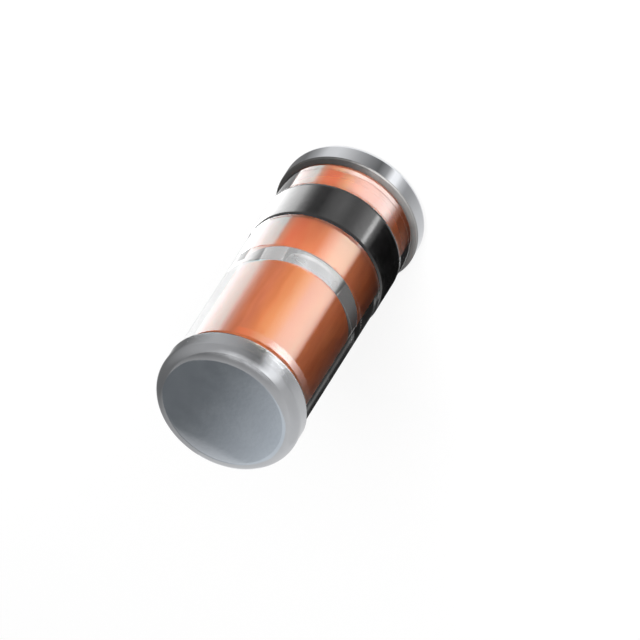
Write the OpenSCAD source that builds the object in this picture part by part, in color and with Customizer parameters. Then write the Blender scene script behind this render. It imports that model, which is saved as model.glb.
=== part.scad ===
// Leadless glass diode: two capped slugs sealed into a glass sleeve, with the die held between them.
// It stands on its cathode cap, with +Z along the axis towards the anode cap.
// The origin is the centre of the cathode cap's outer face.

/* [End caps] */
// Length over both end caps
overall_length = 3.5; // [3.2:0.05:3.8]
// Diameter of the end caps
cap_diameter = 1.5; // [1.48:0.01:1.7]
// Thickness of each end cap
cap_thickness = 0.3; // [0.22:0.01:0.4]
// Rounding of the rim at each cap's outer face
cap_outer_rounding = 0.14; // [0.03:0.01:0.16]
// Rounding of the rim at each cap's inner face
cap_inner_rounding = 0.015; // [0.01:0.005:0.05]

/* [Glass sleeve] */
// Outside diameter of the glass
glass_diameter = 1.42; // [1.3:0.01:1.44]
// Rounding of the melted edge at each end of the glass
glass_rounding = 0.05; // [0.02:0.01:0.15]
// Hairline left between each end of the glass and its cap
seal_gap = 0.02; // [0.01:0.005:0.06]

/* [Slugs] */
// Diameter of both slugs, and so of the bore that the glass closes round them
slug_diameter = 0.66; // [0.6:0.01:0.8]
// Length of the cathode slug, from its cap to the solder
cathode_slug_length = 1.2; // [1:0.01:1.5]
// Rounding of the edge at the free end of each slug
slug_rounding = 0.03; // [0.01:0.005:0.05]

/* [Junction] */
// Thickness of the solder between the cathode slug and the die
solder_thickness = 0.03; // [0.02:0.005:0.05]
// Flat of the slug's end left bare around the solder
solder_margin = 0.01; // [0.005:0.005:0.03]
// Side of the square die
die_side = 0.36; // [0.25:0.01:0.4]
// Thickness of the die
die_thickness = 0.13; // [0.08:0.01:0.2]
// Diameter of the contact bump between the die and the anode slug
bump_diameter = 0.22; // [0.16:0.01:0.24]
// Height of the contact bump
bump_height = 0.06; // [0.04:0.005:0.1]

/* [Cathode band] */
// Width of the printed band
band_width = 0.52; // [0.3:0.01:0.8]
// Bare glass between the cathode cap and the band
band_offset = 0.38; // [0.2:0.01:0.6]
// Thickness of the ink
band_thickness = 0.01; // [0.005:0.005:0.03]

/* [Hidden] */
$fn = 96;

cap_radius = cap_diameter / 2;
glass_radius = glass_diameter / 2;
slug_radius = slug_diameter / 2;
solder_radius = slug_radius - slug_rounding - solder_margin;

// Heights of the stack, from the cathode cap up
slugs_top = overall_length - cap_thickness;
solder_bottom = cap_thickness + cathode_slug_length;
die_bottom = solder_bottom + solder_thickness;
bump_bottom = die_bottom + die_thickness;
anode_slug_bottom = bump_bottom + bump_height;
glass_bottom = cap_thickness + seal_gap;
band_bottom = cap_thickness + band_offset;

glass_length = slugs_top - seal_gap - glass_bottom;
anode_slug_length = slugs_top - anode_slug_bottom;

tin = [0.72, 0.73, 0.75];
copper = [0.85, 0.46, 0.28];
silver = [0.84, 0.85, 0.87];
silicon = [0.30, 0.31, 0.34];
clear_glass = [0.88, 0.94, 0.96, 0.35];
black_ink = [0.10, 0.10, 0.10];

// What a rounding takes off a square corner that lies at the origin, with the material on its -X +Y side
module corner_waste(rounding) {
    difference() {
        translate([-rounding, 0])
            square(rounding);
        translate([-rounding, rounding])
            circle(rounding);
    }
}

// Turned disc or tube that stands on the XY plane, with either of its outer edges rounded
module turned(outer, height, inner = 0, bottom_rounding = 0, top_rounding = 0) {
    rotate_extrude()
        difference() {
            translate([inner, 0])
                square([outer - inner, height]);
            if (bottom_rounding > 0)
                translate([outer, 0])
                    corner_waste(bottom_rounding);
            if (top_rounding > 0)
                translate([outer, height])
                    mirror([0, 1])
                        corner_waste(top_rounding);
        }
}

// Terminal disc with its outer face down
module end_cap() {
    turned(
        cap_radius, cap_thickness,
        bottom_rounding = cap_outer_rounding, top_rounding = cap_inner_rounding
    );
}

// Slug with its welded end down
module slug(length) {
    turned(slug_radius, length, top_rounding = slug_rounding);
}

module cathode_end_cap() {
    color(tin)
        end_cap();
}

module anode_end_cap() {
    color(tin)
        translate([0, 0, overall_length])
            mirror([0, 0, 1])
                end_cap();
}

module cathode_slug() {
    color(copper)
        translate([0, 0, cap_thickness])
            slug(cathode_slug_length);
}

module anode_slug() {
    color(copper)
        translate([0, 0, slugs_top])
            mirror([0, 0, 1])
                slug(anode_slug_length);
}

// Solder wets the slug's end and draws back to a rounded edge
module die_solder() {
    color(silver)
        translate([0, 0, solder_bottom])
            turned(solder_radius, solder_thickness, top_rounding = solder_thickness);
}

module silicon_die() {
    color(silicon)
        translate([-die_side / 2, -die_side / 2, die_bottom])
            cube([die_side, die_side, die_thickness]);
}

// Bump squeezed to a barrel between the die and the anode slug
module contact_bump() {
    color(silver)
        translate([0, 0, bump_bottom])
            turned(
                bump_diameter / 2, bump_height,
                bottom_rounding = bump_height / 2, top_rounding = bump_height / 2
            );
}

module glass_sleeve() {
    color(clear_glass)
        translate([0, 0, glass_bottom])
            turned(
                glass_radius, glass_length, inner = slug_radius,
                bottom_rounding = glass_rounding, top_rounding = glass_rounding
            );
}

module cathode_band() {
    color(black_ink)
        translate([0, 0, band_bottom])
            turned(glass_radius + band_thickness, band_width, inner = glass_radius);
}

cathode_end_cap();
cathode_slug();
die_solder();
silicon_die();
contact_bump();
anode_slug();
anode_end_cap();
glass_sleeve();
cathode_band();
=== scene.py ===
import math

import bmesh
import bpy
from mathutils import Matrix, Vector


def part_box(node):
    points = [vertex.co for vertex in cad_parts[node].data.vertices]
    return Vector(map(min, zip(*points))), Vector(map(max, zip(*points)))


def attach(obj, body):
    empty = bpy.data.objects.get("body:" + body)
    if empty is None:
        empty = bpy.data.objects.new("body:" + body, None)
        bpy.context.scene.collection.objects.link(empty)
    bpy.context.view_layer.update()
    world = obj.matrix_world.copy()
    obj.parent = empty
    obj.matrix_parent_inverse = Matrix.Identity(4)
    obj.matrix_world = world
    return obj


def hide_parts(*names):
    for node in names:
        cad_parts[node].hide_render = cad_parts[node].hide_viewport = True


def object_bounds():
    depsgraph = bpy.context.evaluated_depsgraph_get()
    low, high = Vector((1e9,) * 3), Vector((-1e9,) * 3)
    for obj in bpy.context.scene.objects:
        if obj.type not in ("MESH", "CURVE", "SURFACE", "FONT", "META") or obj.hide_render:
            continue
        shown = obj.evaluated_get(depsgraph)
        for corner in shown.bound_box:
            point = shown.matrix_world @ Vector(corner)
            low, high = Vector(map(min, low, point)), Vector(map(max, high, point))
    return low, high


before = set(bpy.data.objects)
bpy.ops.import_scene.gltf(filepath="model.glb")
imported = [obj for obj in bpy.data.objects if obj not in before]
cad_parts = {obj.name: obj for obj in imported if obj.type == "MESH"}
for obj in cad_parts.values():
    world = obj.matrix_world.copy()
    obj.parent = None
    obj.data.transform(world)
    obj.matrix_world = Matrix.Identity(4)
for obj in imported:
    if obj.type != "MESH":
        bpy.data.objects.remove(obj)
cad_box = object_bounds()

MM = 0.001

# Roundings of the caps and the glass, the same as on the solids
CAP_OUTER_ROUNDING = 0.14 * MM
CAP_INNER_ROUNDING = 0.015 * MM
GLASS_ROUNDING = 0.05 * MM

# Edges that are sharper than on the solids: the slugs' free ends, so that the gap between them shows at its
# full width, and the solder and the bump, whose roundings leave some flat beside them
SLUG_ROUNDING = 0.008 * MM
SOLDER_ROUNDING = 0.022 * MM
BUMP_ROUNDING = 0.025 * MM

# Broken edges of the die, which is a plain block in the solids
DIE_CHAMFER = 0.006 * MM
DIE_CHAMFER_STEPS = 2

# How far the glass reaches into the slugs that it is fused to, so that no two faces coincide
FUSED_DEPTH = 0.002 * MM

# The ink reaches into the glass by its depth, and thins out over the feather's width to a lip at each edge
INK_DEPTH = 0.001 * MM
INK_FEATHER = 0.03 * MM
INK_LIP = 0.0005 * MM
# How far the printed edges wander, and their waves: turns round the band, share and shift
INK_WANDER = 0.0025 * MM
INK_WAVES = [(3, 1, 1), (7, 0.6, 2), (16, 0.4, 0)]

# Fineness of the turned meshes, and the flat that is kept beside each rounding
TURN_STEPS = 256
ARC_STEPS = 12
HOLD_WIDTH = 0.004 * MM
# Edges that turn by more than this stay sharp
SHARP_ANGLE = math.radians(40)

# The camera's place, the width that it sees, and where it looks, from the middle of the object.
# The lens is so long that the object is seen almost without perspective.
VIEW_ELEVATION = math.radians(46.13)
VIEW_ROLL = math.radians(147.65)
VIEW_WIDTH = 6.228 * MM
TARGET_RIGHT = 0.2803 * MM
TARGET_UP = -0.1304 * MM
LENS = 800
SENSOR = 36
CLIP_START = 10 * MM

GLASS_INDEX = 1.52
INK_INDEX = 1.5


def turned_size(node):
    """Radius, bottom and top of a turned solid."""
    low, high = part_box(node)
    return high.x, low.z, high.z


CAP_RADIUS, CATHODE_FACE, CATHODE_CAP_TOP = turned_size("cathode_end_cap")
_, ANODE_CAP_BOTTOM, ANODE_FACE = turned_size("anode_end_cap")
GLASS_RADIUS, GLASS_BOTTOM, GLASS_TOP = turned_size("glass_sleeve")
SLUG_RADIUS, _, CATHODE_SLUG_TOP = turned_size("cathode_slug")
_, ANODE_SLUG_BOTTOM, _ = turned_size("anode_slug")


# Turned shapes


def rounded_corner(before, here, after, rounding):
    """Points of a square corner with a rounding, and one more on the flat at each side of it."""
    back = (before - here).normalized()
    ahead = (after - here).normalized()
    centre = here + (back + ahead) * rounding
    points = [here + back * (rounding + HOLD_WIDTH)]
    for step in range(ARC_STEPS + 1):
        turn = math.pi / 2 * step / ARC_STEPS
        points.append(centre - (ahead * math.cos(turn) + back * math.sin(turn)) * rounding)
    points.append(here + ahead * (rounding + HOLD_WIDTH))
    return points


def outline(corners):
    """Points of an outline from its corners, each a radius, a height and a rounding."""
    places = [Vector(corner[:2]) for corner in corners]
    points = []
    for k, (_, _, rounding) in enumerate(corners):
        if rounding > 0:
            points += rounded_corner(places[k - 1], places[k], places[(k + 1) % len(places)], rounding)
        else:
            points.append(places[k])
    return points


def link(name, data):
    """Object in the scene with a mesh, a lens or a lamp."""
    made = bpy.data.objects.new(name, data)
    bpy.context.scene.collection.objects.link(made)
    return made


def finish_shape(name, shape):
    """Mesh object from a shape that is done with."""
    mesh = bpy.data.meshes.new(name)
    shape.to_mesh(mesh)
    shape.free()
    return link(name, mesh)


def revolve(name, points, wave=None):
    """Mesh object turned from an outline. wave moves a height by the turn's angle."""
    shape = bmesh.new()
    rings = []
    for radius, height in points:
        steps = TURN_STEPS if radius > 0 else 1
        ring = []
        for step in range(steps):
            angle = 2 * math.pi * step / TURN_STEPS
            moved = height + wave(angle, height) if wave else height
            ring.append(shape.verts.new((radius * math.cos(angle), radius * math.sin(angle), moved)))
        rings.append(ring)
    if len(rings[0]) > 1:
        rings.append(rings[0])
    for ring, following in zip(rings, rings[1:]):
        for step in range(TURN_STEPS):
            onward = (step + 1) % TURN_STEPS
            corners = [ring[step % len(ring)], ring[onward % len(ring)]]
            corners += [following[onward % len(following)], following[step % len(following)]]
            shape.faces.new(dict.fromkeys(corners))
    bmesh.ops.recalc_face_normals(shape, faces=shape.faces)
    piece = finish_shape(name, shape)
    piece.data.shade_smooth()
    piece.data.set_sharp_from_angle(angle=SHARP_ANGLE)
    return piece


# Materials

# Noise lies mostly between these values
NOISE_LOW = 0.3
NOISE_HIGH = 0.7


def grey(level):
    return level, level, level


def fill_ramp(ramp, stops):
    """Gives a colour ramp its stops, each a place and a colour."""
    while len(ramp.elements) < len(stops):
        ramp.elements.new(1.0)
    for element, (place, colour) in zip(ramp.elements, stops):
        element.position = place
        element.color = (*colour, 1.0)


class Finish:
    """A material with a Principled shader, and the nodes that vary it."""

    def __init__(self, name):
        self.material = bpy.data.materials.new(name)
        self.material.use_nodes = True
        self.tree = self.material.node_tree
        self.shader = self.tree.nodes["Principled BSDF"]
        place = self.tree.nodes.new("ShaderNodeTexCoord")
        self.place = place.outputs["Object"]

    def node(self, kind, **inputs):
        """New node with values for some of its inputs."""
        made = self.tree.nodes.new("ShaderNode" + kind)
        for key, value in inputs.items():
            made.inputs[key].default_value = value
        return made

    def join(self, source, target):
        self.tree.links.new(source, target)

    def vary(self, name, source):
        """Lets a source drive an input of the shader."""
        self.join(source, self.shader.inputs[name])

    def noise(self, grain, detail=3.0, stretch=(1, 1, 1)):
        """Noise whose grain is that many millimetres, drawn out by stretch along each axis."""
        mapping = self.node("Mapping")
        mapping.inputs["Scale"].default_value = [1 / (grain * MM * s) for s in stretch]
        texture = self.node("TexNoise", Scale=1.0, Detail=detail)
        self.join(self.place, mapping.inputs["Vector"])
        self.join(mapping.outputs["Vector"], texture.inputs["Vector"])
        return texture.outputs["Fac"]

    def ramp(self, source, stops):
        """Colour by a source's value, from stops of a place and a colour."""
        ramp = self.node("ValToRGB")
        fill_ramp(ramp.color_ramp, stops)
        self.join(source, ramp.inputs["Fac"])
        return ramp.outputs["Color"]

    def mottle(self, noise, first, second):
        """Colour between two, by a noise."""
        return self.ramp(noise, [(NOISE_LOW, first), (NOISE_HIGH, second)])

    def spread(self, source, low, high, start=NOISE_LOW, end=NOISE_HIGH):
        """The source from its start to its end, mapped from low to high."""
        scaled = self.node("MapRange")
        limits = {"From Min": start, "From Max": end, "To Min": low, "To Max": high}
        for key, value in limits.items():
            scaled.inputs[key].default_value = value
        self.join(source, scaled.inputs["Value"])
        return scaled.outputs["Result"]

    def share(self, source, start, end):
        """How far a source has come from a start to an end, from 0 to 1."""
        return self.spread(source, 0.0, 1.0, start, end)

    def fade(self, share, low, high):
        """A value between two, by a share."""
        return self.spread(share, low, high, 0.0, 1.0)

    def calculate(self, operation, first, second):
        """Result of an operation on two sockets, or on a socket and a number."""
        result = self.node("Math")
        result.operation = operation
        self.join(first, result.inputs[0])
        if isinstance(second, float):
            result.inputs[1].default_value = second
        else:
            self.join(second, result.inputs[1])
        return result.outputs["Value"]

    def along(self, axis):
        """Place along an axis."""
        split = self.node("SeparateXYZ")
        self.join(self.place, split.inputs["Vector"])
        return split.outputs[axis]

    def away_from(self, height):
        """Distance along the axis of the object from a height."""
        above = self.calculate("SUBTRACT", self.along("Z"), height)
        return self.calculate("ABSOLUTE", above, 0.0)

    def blend(self, share, first, second):
        """Colour between two others, by a share."""
        mix = self.node("Mix")
        mix.data_type = "RGBA"
        colours = [socket for socket in mix.inputs if socket.type == "RGBA"]
        self.join(share, mix.inputs["Factor"])
        self.join(first, colours[0])
        self.join(second, colours[1])
        return next(socket for socket in mix.outputs if socket.type == "RGBA")

    def bump(self, source, depth):
        """Relief from a source, with its depth in millimetres."""
        relief = self.node("Bump", Strength=1.0, Distance=depth * MM)
        self.join(source, relief.inputs["Height"])
        self.vary("Normal", relief.outputs["Normal"])


# Each finish has two colours that a noise runs between
CLEAN_TIN = (0.66, 0.675, 0.705), (0.73, 0.742, 0.765)
# Where the clean tin starts, as shares of a cap's thickness from its inner edge
TIN_SEAM = (0.055, 0.075)
# Roughness along a cap's thickness, from its dull inner edge, past its burnished rim, to its outer face
TIN_POLISH = [(0.055, grey(0.6)), (0.075, grey(0.05)), (0.5, grey(0.05)), (0.9, grey(0.13))]
# Dull seam colour of the inner faces with painted shade over it, from the -X side of a cap to its +X side:
# lightest a little to -X of the middle, painted darker towards +X
DULL_SEAM_AND_SHADE = [
    (0.1, (0.28, 0.277, 0.273)),
    (0.25, (0.3, 0.297, 0.293)),
    (0.4, (0.42, 0.416, 0.41)),
    (0.5, (0.33, 0.327, 0.322)),
    (0.6, (0.18, 0.178, 0.176)),
    (0.7, (0.095, 0.094, 0.093)),
    (0.9, (0.055, 0.054, 0.053)),
]


def tinned_metal():
    tin = Finish("tinned_metal")
    middle = (CATHODE_FACE + ANODE_FACE) / 2
    height = tin.share(tin.away_from(middle), ANODE_CAP_BOTTOM - middle, ANODE_FACE - middle)
    bright = tin.mottle(tin.noise(grain=0.35), *CLEAN_TIN)
    # Painted shade: the inner faces' dull seam grey is graded by place along X and darkened towards +X
    side = tin.share(tin.along("X"), -CAP_RADIUS, CAP_RADIUS)
    waver = tin.spread(tin.noise(grain=0.05), low=-0.03, high=0.03)
    seam_and_shade = tin.ramp(tin.calculate("ADD", side, waver), DULL_SEAM_AND_SHADE)
    clean = tin.share(height, *TIN_SEAM)
    tin.vary("Base Color", tin.blend(clean, seam_and_shade, bright))
    tin.vary("Metallic", tin.fade(clean, low=0.6, high=1.0))
    uneven = tin.spread(tin.noise(grain=0.12), low=0.8, high=1.25)
    tin.vary("Roughness", tin.calculate("MULTIPLY", tin.ramp(height, TIN_POLISH), uneven))
    tin.bump(tin.noise(grain=0.05), depth=0.0004)
    return tin.material


RED_OXIDE = (0.86, 0.19, 0.052), (0.96, 0.25, 0.08)
SILVER_PLATING = (0.56, 0.57, 0.59), (0.66, 0.67, 0.685)
# How far the silver plating of the slugs' ends comes round onto their sides
PLATED_WRAP = 0.004 * MM


def copper_oxide():
    copper = Finish("copper_oxide")
    oxide = copper.mottle(copper.noise(grain=0.06, stretch=(1, 1, 8)), *RED_OXIDE)
    plating = copper.mottle(copper.noise(grain=0.04), *SILVER_PLATING)
    middle = (CATHODE_SLUG_TOP + ANODE_SLUG_BOTTOM) / 2
    edge = ANODE_SLUG_BOTTOM - middle + PLATED_WRAP
    bare = copper.share(copper.away_from(middle), edge, edge + HOLD_WIDTH)
    copper.vary("Base Color", copper.blend(bare, plating, oxide))
    copper.vary("Metallic", copper.fade(bare, low=1.0, high=0.2))
    matt = copper.spread(copper.noise(grain=0.1), low=0.3, high=0.42)
    copper.vary("Roughness", copper.calculate("MULTIPLY", copper.fade(bare, low=1.3, high=1.0), matt))
    copper.bump(copper.noise(grain=0.03, stretch=(1, 1, 6)), depth=0.0008)
    return copper.material


GLASS_TINT = (0.985, 0.992, 0.99), (1.0, 1.0, 1.0)


def clear_glass():
    glass = Finish("clear_glass")
    glass.shader.inputs["IOR"].default_value = GLASS_INDEX
    glass.shader.inputs["Transmission Weight"].default_value = 1.0
    glass.vary("Base Color", glass.mottle(glass.noise(grain=0.6), *GLASS_TINT))
    glass.vary("Roughness", glass.spread(glass.noise(grain=0.3), low=0.0, high=0.012))
    glass.bump(glass.noise(grain=0.25, detail=1.0, stretch=(1, 1, 6)), depth=0.0004)
    return glass.material


INK_BLACK = (0.003, 0.003, 0.003), (0.007, 0.0065, 0.007)


def black_ink():
    ink = Finish("black_ink")
    ink.shader.inputs["IOR"].default_value = INK_INDEX
    ink.vary("Base Color", ink.mottle(ink.noise(grain=0.15), *INK_BLACK))
    ink.vary("Roughness", ink.spread(ink.noise(grain=0.08), low=0.07, high=0.16))
    ink.bump(ink.noise(grain=0.06), depth=0.0008)
    return ink.material


BRIGHT_SOLDER = (0.78, 0.79, 0.81), (0.9, 0.905, 0.92)


def silver_solder():
    solder = Finish("silver_solder")
    solder.shader.inputs["Metallic"].default_value = 1.0
    solder.vary("Base Color", solder.mottle(solder.noise(grain=0.04), *BRIGHT_SOLDER))
    solder.vary("Roughness", solder.spread(solder.noise(grain=0.05), low=0.25, high=0.4))
    solder.bump(solder.noise(grain=0.02), depth=0.001)
    return solder.material


SAWN_SILICON = (0.34, 0.35, 0.37), (0.45, 0.46, 0.48)
SILICON_METALLIC = 0.85


def silicon():
    chip = Finish("silicon")
    chip.shader.inputs["Metallic"].default_value = SILICON_METALLIC
    saw = chip.noise(grain=0.012, stretch=(12, 12, 1))
    chip.vary("Base Color", chip.mottle(saw, *SAWN_SILICON))
    chip.vary("Roughness", chip.spread(saw, low=0.25, high=0.45))
    chip.bump(saw, depth=0.0008)
    return chip.material


# Pieces


def place(piece, material, node, slot):
    """Gives a piece its material and puts it in the place of its solid."""
    piece.data.materials.append(material)
    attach(piece, "root")
    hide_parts(node)


def cap(name, outer, inner):
    return revolve(name, outline([
        (0, outer, 0),
        (CAP_RADIUS, outer, CAP_OUTER_ROUNDING),
        (CAP_RADIUS, inner, CAP_INNER_ROUNDING),
        (0, inner, 0),
    ]))


def slug(name, welded, free):
    return revolve(name, outline([
        (0, welded, 0),
        (SLUG_RADIUS, welded, 0),
        (SLUG_RADIUS, free, SLUG_ROUNDING),
        (0, free, 0),
    ]))


def sleeve(name):
    bore = SLUG_RADIUS - FUSED_DEPTH
    return revolve(name, outline([
        (bore, GLASS_BOTTOM, 0),
        (GLASS_RADIUS, GLASS_BOTTOM, GLASS_ROUNDING),
        (GLASS_RADIUS, GLASS_TOP, GLASS_ROUNDING),
        (bore, GLASS_TOP, 0),
    ]))


def ink_band(name):
    radius, bottom, top = turned_size("cathode_band")
    inner = GLASS_RADIUS - INK_DEPTH
    lip = GLASS_RADIUS + INK_LIP

    def printed_edge(angle, height):
        side = 1 if height > (bottom + top) / 2 else -1
        run = sum(share * math.sin(turns * angle + shift * side) for turns, share, shift in INK_WAVES)
        return -side * INK_WANDER * (1 + run / 2)

    slope = [(lip, 0), (radius, INK_FEATHER), (radius, INK_FEATHER + HOLD_WIDTH)]
    lower = [(inner, bottom)] + [(out, bottom + up) for out, up in slope]
    upper = [(out, top - down) for out, down in reversed(slope)] + [(inner, top)]
    return revolve(name, lower + upper, printed_edge)


def solder_pad(name):
    radius, bottom, top = turned_size("die_solder")
    return revolve(name, outline([
        (0, bottom, 0),
        (radius, bottom, 0),
        (radius, top, SOLDER_ROUNDING),
        (0, top, 0),
    ]))


def solder_bump(name):
    radius, bottom, top = turned_size("contact_bump")
    return revolve(name, outline([
        (0, bottom, 0),
        (radius, bottom, BUMP_ROUNDING),
        (radius, top, BUMP_ROUNDING),
        (0, top, 0),
    ]))


def sawn_die(name):
    low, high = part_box("silicon_die")
    shape = bmesh.new()
    bmesh.ops.create_cube(shape, size=1.0)
    middle = (low + high) / 2
    for vert in shape.verts:
        vert.co = middle + Vector(a * b for a, b in zip(vert.co, high - low))
    bmesh.ops.bevel(
        shape, geom=list(shape.edges), offset=DIE_CHAMFER, segments=DIE_CHAMFER_STEPS,
        profile=0.5, affect="EDGES",
    )
    return finish_shape(name, shape)


def build_object():
    tin = tinned_metal()
    copper = copper_oxide()
    silver = silver_solder()
    cathode_cap = cap("tinned_cap_cathode", CATHODE_FACE, CATHODE_CAP_TOP)
    place(cathode_cap, tin, "cathode_end_cap", "tinned_metal")
    anode_cap = cap("tinned_cap_anode", ANODE_FACE, ANODE_CAP_BOTTOM)
    place(anode_cap, tin, "anode_end_cap", "tinned_metal")
    cathode_slug = slug("copper_slug_cathode", CATHODE_CAP_TOP, CATHODE_SLUG_TOP)
    place(cathode_slug, copper, "cathode_slug", "copper_oxide")
    anode_slug = slug("copper_slug_anode", ANODE_CAP_BOTTOM, ANODE_SLUG_BOTTOM)
    place(anode_slug, copper, "anode_slug", "copper_oxide")
    place(sleeve("clear_sleeve"), clear_glass(), "glass_sleeve", "clear_glass")
    place(ink_band("ink_band"), black_ink(), "cathode_band", "black_ink")
    place(solder_pad("solder_pad"), silver, "die_solder", "silver_solder")
    place(solder_bump("solder_bump"), silver, "contact_bump", "silver_solder")
    place(sawn_die("sawn_die"), silicon(), "silicon_die", "silicon")


# Camera


def view_axes():
    """The camera's right, up and backward directions."""
    back = Vector((0, -math.cos(VIEW_ELEVATION), math.sin(VIEW_ELEVATION)))
    level_right = Vector((1, 0, 0))
    level_up = back.cross(level_right)
    up = level_right * math.sin(VIEW_ROLL) + level_up * math.cos(VIEW_ROLL)
    return up.cross(back), up, back


def add_camera():
    right, up, back = view_axes()
    low, high = cad_box
    target = (low + high) / 2 + right * TARGET_RIGHT + up * TARGET_UP
    lens = bpy.data.cameras.new("camera")
    lens.lens = LENS
    lens.sensor_width = SENSOR
    lens.clip_start = CLIP_START
    turn = Matrix((right, up, back)).transposed().to_4x4()
    camera = link("camera", lens)
    camera.matrix_world = Matrix.Translation(target + back * VIEW_WIDTH * LENS / SENSOR) @ turn
    bpy.context.scene.camera = camera


# Floor, surroundings and lamp

# Corners of a square that reaches 1 to each side
SQUARE = [(-1, -1), (1, -1), (1, 1), (-1, 1)]
FLOOR_HALF = 400 * MM
FLOOR_ALBEDO = 0.2
FLOOR_GLOW = 0.808
WORLD_LEVEL = 0.3
KEY_PLACE = Vector((4.5, -18.5, 17)) * MM
KEY_SIZE = 24 * MM
KEY_LEVEL = 2.05


def seen_directly(tree):
    """Socket that is 1 for rays from the camera, off gloss and through glass, and 0 once scattered."""
    path = tree.nodes.new("ShaderNodeLightPath")
    value = path.outputs["Is Camera Ray"]
    steps = [
        ("MAXIMUM", "Is Glossy Ray"),
        ("MAXIMUM", "Is Transmission Ray"),
        ("SUBTRACT", "Diffuse Depth"),
    ]
    for operation, name in steps:
        step = tree.nodes.new("ShaderNodeMath")
        step.operation = operation
        step.use_clamp = True
        tree.links.new(value, step.inputs[0])
        tree.links.new(path.outputs[name], step.inputs[1])
        value = step.outputs["Value"]
    return value


def add_floor():
    """White floor that glows where it is seen directly, and takes the object's shadow."""
    mesh = bpy.data.meshes.new("floor")
    mesh.from_pydata([(x * FLOOR_HALF, y * FLOOR_HALF, 0) for x, y in SQUARE], [], [(0, 1, 2, 3)])
    floor = link("floor", mesh)
    paint = bpy.data.materials.new("floor")
    paint.use_nodes = True
    tree = paint.node_tree
    tree.nodes.remove(tree.nodes["Principled BSDF"])
    matt = tree.nodes.new("ShaderNodeBsdfDiffuse")
    matt.inputs["Color"].default_value = (*grey(FLOOR_ALBEDO), 1)
    shine = tree.nodes.new("ShaderNodeEmission")
    strength = tree.nodes.new("ShaderNodeMath")
    strength.operation = "MULTIPLY"
    strength.inputs[1].default_value = FLOOR_GLOW
    both = tree.nodes.new("ShaderNodeAddShader")
    tree.links.new(seen_directly(tree), strength.inputs[0])
    tree.links.new(strength.outputs["Value"], shine.inputs["Strength"])
    tree.links.new(matt.outputs["BSDF"], both.inputs[0])
    tree.links.new(shine.outputs["Emission"], both.inputs[1])
    tree.links.new(both.outputs["Shader"], tree.nodes["Material Output"].inputs["Surface"])
    mesh.materials.append(paint)


def add_world():
    """Surroundings that are white where they are seen directly, and dimmer as a light."""
    world = bpy.data.worlds.new("studio")
    bpy.context.scene.world = world
    world.use_nodes = True
    tree = world.node_tree
    strength = tree.nodes.new("ShaderNodeMapRange")
    strength.inputs["To Min"].default_value = WORLD_LEVEL
    strength.inputs["To Max"].default_value = 1.0
    tree.links.new(seen_directly(tree), strength.inputs["Value"])
    tree.links.new(strength.outputs["Result"], tree.nodes["Background"].inputs["Strength"])
    tree.nodes["Background"].inputs["Color"].default_value = (1, 1, 1, 1)


def add_lamp():
    """Square lamp that faces the object and lights a white card there to its level."""
    lamp = bpy.data.lights.new("key", "AREA")
    lamp.size = KEY_SIZE
    lamp.energy = KEY_LEVEL * math.pi ** 2 * KEY_PLACE.length_squared
    key = link("key", lamp)
    key.location = (cad_box[0] + cad_box[1]) / 2 + KEY_PLACE
    key.rotation_mode = "QUATERNION"
    key.rotation_quaternion = KEY_PLACE.to_track_quat("Z", "Y")


# Cards that glow. A card's stops are each a place along it, the light seen there and maybe its tint.

NEUTRAL = (1, 1, 1)
COOL = (0.65, 0.97, 1)
STEEL = (0.87, 0.94, 1)
EMBER = (1, 0.28, 0.2)
RUST = (1, 0.44, 0.28)
ORANGE = (1, 0.7, 0.35)
PEACH = (1, 0.7, 0.57)
AMBER = (1, 0.86, 0.6)
CREAM = (1, 0.93, 0.78)
WARM = (1, 0.98, 0.88)

# Views that a card can be limited to: how much of it is hidden when it is seen through glass alone,
# and what each mirror and each scattering surface on the way adds to that
CLEAR_VIEW = (0, 1, 1)
MIRROR_VIEW = (1, -1, 1)
INDIRECT_VIEW = (1, -1, -1)

CARD_STEPS = 120
RIBBON_FACES = [(k, k + 1, k + 3, k + 2) for k in range(0, 2 * CARD_STEPS, 2)]


def glow(name, stops):
    """Emission by the card's first texture coordinate."""
    light = bpy.data.materials.new(name)
    light.use_nodes = True
    light.cycles.emission_sampling = "NONE"
    tree = light.node_tree
    tree.nodes.remove(tree.nodes["Principled BSDF"])
    across = tree.nodes.new("ShaderNodeTexCoord")
    split = tree.nodes.new("ShaderNodeSeparateXYZ")
    ramp = tree.nodes.new("ShaderNodeValToRGB")
    brightest = max(stop[1] for stop in stops)
    fill_ramp(ramp.color_ramp, [
        (share, Vector(tint[0] if tint else NEUTRAL) * level / brightest) for share, level, *tint in stops
    ])
    emission = tree.nodes.new("ShaderNodeEmission")
    emission.inputs["Strength"].default_value = brightest
    tree.links.new(across.outputs["UV"], split.inputs["Vector"])
    tree.links.new(split.outputs["X"], ramp.inputs["Fac"])
    tree.links.new(ramp.outputs["Color"], emission.inputs["Color"])
    tree.links.new(emission.outputs["Emission"], tree.nodes["Material Output"].inputs["Surface"])
    return light


def finish_card(name, points, faces, shares, stops, glossy):
    """Card that glows by each point's share, for gloss alone or for what is seen through glass alone."""
    mesh = bpy.data.meshes.new(name)
    mesh.from_pydata(points, [], faces)
    across = mesh.uv_layers.new(name="across")
    for loop in mesh.loops:
        across.data[loop.index].uv = (shares[loop.vertex_index], 0)
    mesh.materials.append(glow(name, stops))
    card = link(name, mesh)
    card.visible_camera = False
    card.visible_diffuse = False
    card.visible_shadow = False
    card.visible_volume_scatter = False
    card.visible_glossy = glossy
    card.visible_transmission = not glossy
    return card


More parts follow.
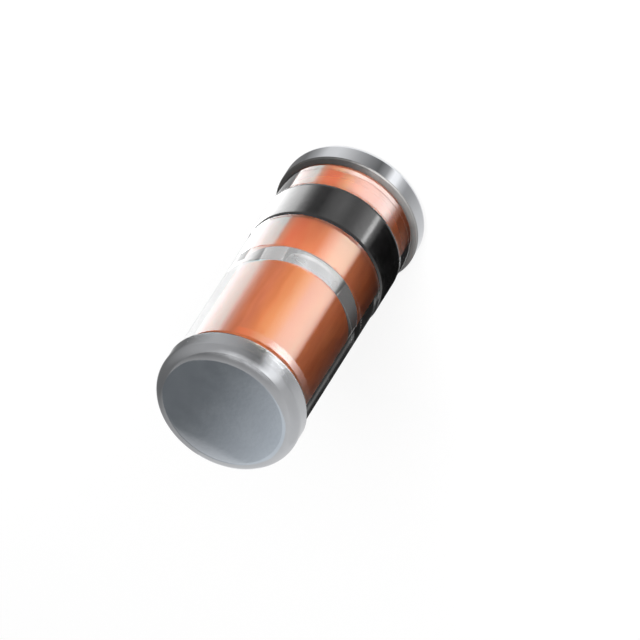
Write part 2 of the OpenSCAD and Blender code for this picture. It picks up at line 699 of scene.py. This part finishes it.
def limit_view(card, view):
    """The card shows only in that view."""
    hidden_when_clear, per_mirror, per_scattering = view
    tree = card.data.materials[0].node_tree
    path = tree.nodes.new("ShaderNodeLightPath")
    mirrors = tree.nodes.new("ShaderNodeMath")
    mirrors.operation = "MULTIPLY_ADD"
    mirrors.inputs[1].default_value = per_mirror
    mirrors.inputs[2].default_value = hidden_when_clear
    hidden = tree.nodes.new("ShaderNodeMath")
    hidden.operation = "MULTIPLY_ADD"
    hidden.use_clamp = True
    hidden.inputs[1].default_value = per_scattering
    clear = tree.nodes.new("ShaderNodeBsdfTransparent")
    mix = tree.nodes.new("ShaderNodeMixShader")
    output = tree.nodes["Material Output"].inputs["Surface"]
    lit = output.links[0].from_socket
    tree.links.new(path.outputs["Glossy Depth"], mirrors.inputs[0])
    tree.links.new(mirrors.outputs["Value"], hidden.inputs[2])
    tree.links.new(path.outputs["Diffuse Depth"], hidden.inputs[0])
    tree.links.new(hidden.outputs["Value"], mix.inputs["Fac"])
    tree.links.new(lit, mix.inputs[1])
    tree.links.new(clear.outputs["BSDF"], mix.inputs[2])
    tree.links.new(mix.outputs["Shader"], output)


def let_through(card):
    """The card adds its light to what lies behind it."""
    tree = card.data.materials[0].node_tree
    clear = tree.nodes.new("ShaderNodeBsdfTransparent")
    both = tree.nodes.new("ShaderNodeAddShader")
    output = tree.nodes["Material Output"].inputs["Surface"]
    lit = output.links[0].from_socket
    tree.links.new(lit, both.inputs[0])
    tree.links.new(clear.outputs["BSDF"], both.inputs[1])
    tree.links.new(both.outputs["Shader"], output)


def add_ribbon(name, edges, stops, glossy, view=None):
    """Card between two lines. edges gives a point on each for any place that the stops run through."""
    first, last = stops[0][0], stops[-1][0]
    points = []
    shares = []
    for step in range(CARD_STEPS + 1):
        share = step / CARD_STEPS
        points += edges(first + (last - first) * share)
        shares += [share, share]
    stops = [((stop[0] - first) / (last - first), *stop[1:]) for stop in stops]
    card = finish_card(name, points, RIBBON_FACES, shares, stops, glossy)
    if view:
        limit_view(card, view)


def add_panel(name, centre, side, rise, stops, glossy):
    """Flat card with a half width and a half height in millimetres, graded along its side."""
    points = [(centre + side * x + rise * y) * MM for x, y in SQUARE]
    return finish_card(name, points, [(0, 1, 2, 3)], [(x + 1) / 2 for x, _ in SQUARE], stops, glossy)


# Cards for the side of the object, laid out by the way that the camera's rays leave it.
# An offset says where a ray meets the sleeve, from -1 on the sleeve's +X side to 1 on its -X side.


def compass(angle):
    """Level direction at an angle from -Y towards -X."""
    return Vector((-math.sin(angle), -math.cos(angle)))


def level_index():
    """Refractive index of the glass for the view's rays as seen along the axis."""
    rise = math.sin(VIEW_ELEVATION)
    return math.sqrt(GLASS_INDEX ** 2 - rise ** 2) / math.cos(VIEW_ELEVATION)


def off_surface(offset):
    """Where a ray leaves the sleeve, and which way it goes, when the glass itself mirrors it."""
    bearing = math.asin(offset)
    return bearing, 2 * bearing


def off_slug(offset):
    """The same for a ray that the slug mirrors inside the glass."""
    outside = math.asin(offset)
    inside = math.asin(offset / level_index())
    at_slug = math.asin(offset * GLASS_RADIUS / (level_index() * SLUG_RADIUS))
    heading = 2 * (outside - inside + at_slug)
    return heading - outside, heading


def past_slug(offset):
    """The same for a ray that passes the slug and comes out at the back."""
    outside = math.asin(offset)
    inside = math.asin(offset / level_index())
    return math.pi + outside - 2 * inside, math.pi + 2 * (outside - inside)


def past_slug_twice(offset):
    """The same for a ray that the back of the glass mirrors past the slug once more."""
    bearing, heading = past_slug(offset)
    turn = math.pi - 2 * math.asin(offset / level_index())
    return bearing + turn, heading + turn


def on_the_way(leaving, offset, start, end):
    """Point at one height on a ray that leaves the sleeve at another, in millimetres."""
    bearing, heading = leaving(offset)
    run = (start - end) * MM / math.tan(VIEW_ELEVATION)
    spot = compass(bearing) * GLASS_RADIUS + compass(heading) * run
    return spot.x, spot.y, end * MM


def run_to(radius, leaving, offset):
    """Level distance that a ray goes from the sleeve to a radius."""
    bearing, heading = leaving(offset)
    across = GLASS_RADIUS * math.sin(heading - bearing)
    return math.sqrt(radius ** 2 - across ** 2) - GLASS_RADIUS * math.cos(heading - bearing)


def add_card(name, leaving, heights, lift, stops, glossy, view=None):
    """Card just above the floor that lights the side of the object between two heights, in millimetres.
    The stops run through offsets."""
    def edges(offset):
        return [on_the_way(leaving, offset, height + lift, lift) for height in heights]

    add_ribbon(name, edges, stops, glossy, view)


STRIP_RADIUS = 0.72 * MM


def add_strip(name, leaving, heights, stops, view):
    """Upright card close round the sleeve, with stops as on a floor card."""
    def edges(offset):
        bearing, heading = leaving(offset)
        spot = compass(bearing) * GLASS_RADIUS + compass(heading) * run_to(STRIP_RADIUS, leaving, offset)
        return [(spot.x, spot.y, height * MM) for height in heights]

    add_ribbon(name, edges, stops, False, view)


# Heights of the zones of the side that each mirror a card of their own, in millimetres.
# The last zone is the near cap, and its card runs on outwards for the cap's rounded edge.
ZONE_HEIGHTS = (0.32, 0.365, 0.425, 0.66, 1.22, 1.7, 1.94, 3.04, 3.17, 12)

# Screens between the cards of some zones. The camera sees them edge on,
# and in other views they hide the cards.
BAFFLE_HEIGHTS = ZONE_HEIGHTS[2:7]
BAFFLE_RADIUS = 0.775 * MM
BAFFLE_LEVEL = 0.8
BAFFLE_STOPS = [(-0.99, BAFFLE_LEVEL), (0.93, BAFFLE_LEVEL), (0.96, 0.1), (0.999, 0.05)]
END_SCREEN_HEIGHT = 2.0
END_SCREEN_LENGTH = 3.2


def add_baffle(height):
    """Screen along the rays that leave the sleeve at a height."""
    def edges(offset):
        drop = run_to(BAFFLE_RADIUS, off_surface, offset) / MM * math.tan(VIEW_ELEVATION)
        return [on_the_way(off_surface, offset, height, end) for end in (max(height - drop, 0), 0)]

    add_ribbon(f"baffle_{height}", edges, BAFFLE_STOPS, True)


def add_end_screen(offset):
    """Upright screen along the rays at one end of the baffles."""
    bearing, heading = off_surface(offset)
    gap = compass(heading) * run_to(BAFFLE_RADIUS, off_surface, offset)
    start = (compass(bearing) * GLASS_RADIUS + gap) / MM
    run = compass(heading) * END_SCREEN_LENGTH / 2
    rise = Vector((0, 0, END_SCREEN_HEIGHT / 2))
    levels = [(0.0, BAFFLE_LEVEL), (1.0, BAFFLE_LEVEL)]
    add_panel(f"end_screen_{offset}", (start + run).to_3d() + rise, run.to_3d(), rise, levels, True)


# Cards for the anode face and the rims

# Millimetres, as for every panel
FACE_CARD_DISTANCE = 4
FACE_CARD_HALF_WIDTH = 2
FACE_CARD_HALF_HEIGHT = 1.1

CRESCENT_DISTANCE = 1.0 * MM
CRESCENT_RADIUS = 0.68 * MM
CRESCENT_WIDTH = 0.24 * MM
CRESCENT_SPAN = (50, 145)
CRESCENT_LEVEL = 0.4

TENT_RADIUS = 12 * MM
TENT_RINGS = 16
TENT_GRADE = Vector((-0.8, 0.6))


def face_mirrors():
    """Direction in which the anode face mirrors the view."""
    return Vector((0, math.cos(VIEW_ELEVATION), math.sin(VIEW_ELEVATION)))


def add_face_card(stops):
    """Card that the anode face mirrors, graded along X."""
    away = face_mirrors()
    side = Vector((1, 0, 0))
    centre = Vector((0, 0, ANODE_FACE / MM)) + away * FACE_CARD_DISTANCE
    rise = away.cross(side) * FACE_CARD_HALF_HEIGHT
    add_panel("face_card", centre, side * FACE_CARD_HALF_WIDTH, rise, stops, True)


def add_crescent():
    """Light that the anode face mirrors along its back edge, on top of the face card's.
    It spans angles in degrees from +X towards +Y and fades towards the middle of the face."""
    away = face_mirrors()
    first, last = CRESCENT_SPAN
    points = []
    for step in range(CARD_STEPS + 1):
        share = step / CARD_STEPS
        angle = math.radians(first + (last - first) * share)
        for inward in (CRESCENT_WIDTH * math.sin(math.pi * share), 0):
            radius = CRESCENT_RADIUS - inward
            spot = Vector((math.cos(angle), math.sin(angle), 0)) * radius
            spot += away * (CRESCENT_DISTANCE - spot.dot(away))
            points.append(spot + Vector((0, 0, ANODE_FACE)))
    shares = [0, 1] * (CARD_STEPS + 1)
    card = finish_card("crescent", points, RIBBON_FACES, shares, [(0.0, 0.0), (1.0, CRESCENT_LEVEL)], True)
    let_through(card)


def add_tent(stops):
    """Half dome over the object, graded along one level direction, which the rounded rims mirror."""
    points = []
    shares = []
    faces = []
    for ring in range(TENT_RINGS + 1):
        rise = math.pi / 2 * ring / TENT_RINGS
        for step in range(CARD_STEPS):
            level = compass(2 * math.pi * step / CARD_STEPS) * math.cos(rise)
            points.append((level.x * TENT_RADIUS, level.y * TENT_RADIUS, math.sin(rise) * TENT_RADIUS))
            shares.append((level.dot(TENT_GRADE) + 1) / 2)
    for ring in range(TENT_RINGS):
        for step in range(CARD_STEPS):
            corners = [(0, step), (0, step + 1), (1, step + 1), (1, step)]
            faces.append([(ring + up) * CARD_STEPS + turn % CARD_STEPS for up, turn in corners])
    tent = finish_card("tent", points, faces, shares, stops, True)
    tent.visible_transmission = True
    limit_view(tent, MIRROR_VIEW)


def add_wall(name, radius, height, stops):
    """Curved screen round the object with a radius and a height in millimetres.
    The stops run through compass angles in degrees."""
    def edges(angle):
        foot = compass(math.radians(angle)) * radius * MM
        return [(foot.x, foot.y, level * MM) for level in (0, height)]

    add_ribbon(name, edges, stops, True)


# Light for each zone of the side that the glass, the ink or the near rim mirrors, from the lowest zone up

HAZE_LEVEL = 5.5


def glass_edge(level):
    """Stops for the clear glass beside the slug, and for the start of the haze over the slug."""
    return [(-0.99, level), (-0.9, level), (-0.885, HAZE_LEVEL), (-0.82, HAZE_LEVEL)]


HAZE = [(-0.685, 5.6, COOL)]
FADED_HAZE = HAZE + [(-0.62, 2.4, COOL), (-0.55, 0.9), (-0.5, 0.5)]
BARE_STRIP = glass_edge(0.8) + HAZE + [
    (-0.63, 3.5, PEACH), (-0.55, 4.4, EMBER), (-0.41, 4.9, EMBER), (-0.27, 4.6, AMBER), (-0.14, 5.5),
    (0.0, 8), (0.11, 9), (0.22, 9.3), (0.33, 11), (0.41, 10.5), (0.46, 7), (0.52, 1.5), (0.6, 0.1),
    (0.999, 0.02),
]
ZONE_CARDS = {
    "strip_card": BARE_STRIP,
    "far_glint_card": glass_edge(0.8) + HAZE + [
        (-0.63, 3.5, PEACH), (-0.55, 4.6, RUST), (-0.41, 6.5, AMBER), (-0.27, 9), (-0.2, 12), (0.0, 11.5),
        (0.2, 12), (0.33, 11.5), (0.41, 10.5), (0.46, 7), (0.52, 1.5), (0.6, 0.1), (0.999, 0.02),
    ],
    "lower_strip_card": BARE_STRIP,
    "band_card": [
        (-0.99, HAZE_LEVEL), (-0.82, HAZE_LEVEL), (-0.685, 4.5), (-0.62, 2.2), (-0.55, 0.9), (-0.5, 0.5),
        (-0.4, 0.4), (-0.27, 1.2), (-0.14, 1.6), (0.0, 1.1), (0.1, 1.3), (0.2, 2.2), (0.3, 3),
        (0.335, 8), (0.365, 8), (0.39, 2), (0.42, 1.2), (0.48, 0.1), (0.6, 0.01), (0.999, 0.01),
    ],
    "between_card": glass_edge(HAZE_LEVEL) + HAZE + [
        (-0.64, 3, PEACH), (-0.55, 4.8, EMBER), (-0.41, 4, EMBER), (-0.27, 3.8, RUST), (-0.14, 5.2, RUST),
        (0.0, 9, PEACH), (0.11, 10, CREAM), (0.22, 9.9, CREAM), (0.33, 8.9, CREAM), (0.37, 6, CREAM),
        (0.42, 0.3), (0.7, 0.05), (0.999, 0.03),
    ],
    "junction_card": glass_edge(2.5) + [
        (-0.75, 3.2), (-0.685, 1.6), (-0.6, 0.9), (-0.5, 1.2), (-0.41, 3.2), (-0.27, 6), (-0.14, 9.8),
        (0.0, 8.8), (0.11, 10), (0.22, 9.5), (0.33, 8.6), (0.38, 6), (0.43, 0.3), (0.7, 0.05),
        (0.999, 0.03),
    ],
    "body_card": glass_edge(1.3) + FADED_HAZE + [
        (-0.4, 0.7), (-0.27, 2.1, ORANGE), (-0.14, 4.2, ORANGE), (0.0, 6.3, AMBER), (0.11, 7.4, WARM),
        (0.22, 7.9, WARM), (0.35, 8, WARM), (0.41, 5.5, WARM), (0.46, 0.25), (0.7, 0.05), (0.999, 0.03),
    ],
    "glint_card": glass_edge(1.3) + FADED_HAZE + [
        (-0.4, 2.5, EMBER), (-0.27, 3.6, RUST), (-0.14, 4.5, AMBER), (0.0, 5.5, WARM), (0.08, 10),
        (0.2, 15), (0.3, 14.5), (0.38, 12.5), (0.43, 8), (0.5, 4), (0.6, 1.6), (0.75, 0.3), (0.999, 0.05),
    ],
    "near_rim_card": [
        (-0.99, 0.5), (-0.965, 0.2), (-0.9, 0.18), (-0.85, 0.25), (-0.78, 0.34), (-0.62, 0.49),
        (-0.5, 0.48), (-0.4, 0.43), (-0.27, 0.35), (-0.14, 0.25), (0.02, 0.2), (0.1, 0.62),
        (0.2, 1.05), (0.32, 0.9), (0.4, 0.46), (0.5, 0.42), (0.7, 0.55), (0.99, 0.7),
    ],
}

# Light for the slugs, for the ring between them and for the dark edge of the glass
SLUG_LIGHT = [(0.2, 0.8), (0.38, 0.5), (0.43, 0.12), (0.6, 0.05), (0.75, 0.02), (0.893, 0.01)]
RING_LIGHT = [
    (-0.893, 0.85), (-0.8, 0.7), (-0.7, 0.5), (-0.5, 0.45), (-0.38, 0.42), (-0.27, 0.45), (0.0, 0.5),
    (0.19, 0.45),
]
RING_SIDE_LIGHT = [(0.4, 0.2), (0.45, 0.14), (0.6, 0.14), (0.7, 0.13), (0.8, 0.07), (0.893, 0.03)]
DARK_EDGE = [
    (0.885, 0.03), (0.91, 0.035), (0.93, 0.16), (0.943, 0.16), (0.956, 0.05), (0.967, 0.012),
    (0.9995, 0.01),
]
# Heights that these cards serve, in millimetres
WHOLE_SIDE = (0.2, 3.6)
RING_SIDE = (1.22, 1.53)
BETWEEN_CAPS = (0.3, 3.2)

# How far the cards lie above the floor, in millimetres, so that none coincide
ZONE_LIFT = 0.006
RING_SIDE_LIFT = 0.0045
SLUG_LIFT = 0.004
RING_LIFT = 0.003

# Flag that keeps light off the dark side of the slugs, in millimetres
FLAG_CENTRE = Vector((-3, 1, 6))
FLAG_HALF_WIDTH = Vector((0, 5, 0))
FLAG_HALF_HEIGHT = Vector((0, 0, 6))
FLAG_LIGHT = [(0.0, 0.06), (1.0, 0.03)]

# Light for the anode face and the rims
FACE_LIGHT = [
    (0.3, 0.74), (0.354, 0.6), (0.39, 0.5), (0.427, 0.43), (0.463, 0.36), (0.5, 0.275), (0.537, 0.212),
    (0.573, 0.173), (0.61, 0.175), (0.68, 0.18), (1.0, 0.17),
]
TENT_LIGHT = [(0.0, 0.13), (0.3, 0.2), (0.5, 0.35), (0.75, 0.6), (1.0, 0.7)]
NEAR_WALL_RADIUS = 7
NEAR_WALL_HEIGHT = 9.3
NEAR_WALL_LIGHT = [
    (-180, 0.5), (-165, 0.35), (-150, 0.17), (-125, 0.18), (-103, 0.3), (-72, 0.42), (-46, 0.41),
    (-22, 0.33), (-4, 0.22), (5, 0.3), (14, 0.85), (21, 1.15), (30, 1.05), (40, 0.6), (50, 0.47), (72, 0.5),
    (103, 0.6), (125, 0.62),
]
FAR_WALL_RADIUS = 0.765
FAR_WALL_HEIGHT = 0.275
FAR_WALL_LIGHT = [
    (-180, 0.45), (-150, 0.6), (-125, 0.4), (-100, 0.22), (-64, 0.2), (-52.5, 0.45), (-44, 0.8),
    (-34.5, 0.86), (-19, 0.5), (-7.5, 0.28), (0, 0.16), (7.5, 0.42), (12.5, 1.3), (16.5, 1.3),
    (21.5, 0.7), (27, 0.42), (33, 0.42), (49, 0.65), (100, 0.95), (125, 0.7), (150, 0.5), (180, 0.45),
]


def add_light():
    add_world()
    add_lamp()
    zones = zip(ZONE_HEIGHTS, ZONE_HEIGHTS[1:])
    for (name, stops), heights in zip(ZONE_CARDS.items(), zones):
        add_card(name, off_surface, heights, ZONE_LIFT, stops, True)
    add_card("slug_card", off_slug, WHOLE_SIDE, SLUG_LIFT, SLUG_LIGHT, False, INDIRECT_VIEW)
    add_card("ring_card", off_slug, WHOLE_SIDE, RING_LIFT, RING_LIGHT, False, MIRROR_VIEW)
    add_card("ring_side_card", off_slug, RING_SIDE, RING_SIDE_LIFT, RING_SIDE_LIGHT, False, MIRROR_VIEW)
    add_strip("edge_strip", past_slug, BETWEEN_CAPS, DARK_EDGE, CLEAR_VIEW)
    add_card("second_edge_card", past_slug_twice, WHOLE_SIDE, ZONE_LIFT, DARK_EDGE, False, MIRROR_VIEW)
    flag = add_panel("side_flag", FLAG_CENTRE, FLAG_HALF_WIDTH, FLAG_HALF_HEIGHT, FLAG_LIGHT, False)
    limit_view(flag, INDIRECT_VIEW)
    for height in BAFFLE_HEIGHTS:
        add_baffle(height)
    for end in (BAFFLE_STOPS[0], BAFFLE_STOPS[-1]):
        add_end_screen(end[0])
    add_face_card([(share, level, STEEL) for share, level in FACE_LIGHT])
    add_crescent()
    add_tent(TENT_LIGHT)
    add_wall("near_rim_wall", NEAR_WALL_RADIUS, NEAR_WALL_HEIGHT, NEAR_WALL_LIGHT)
    add_wall("far_rim_wall", FAR_WALL_RADIUS, FAR_WALL_HEIGHT, FAR_WALL_LIGHT)


build_object()
add_camera()
add_floor()
add_light()
bpy.context.scene.view_settings.view_transform = "Standard"
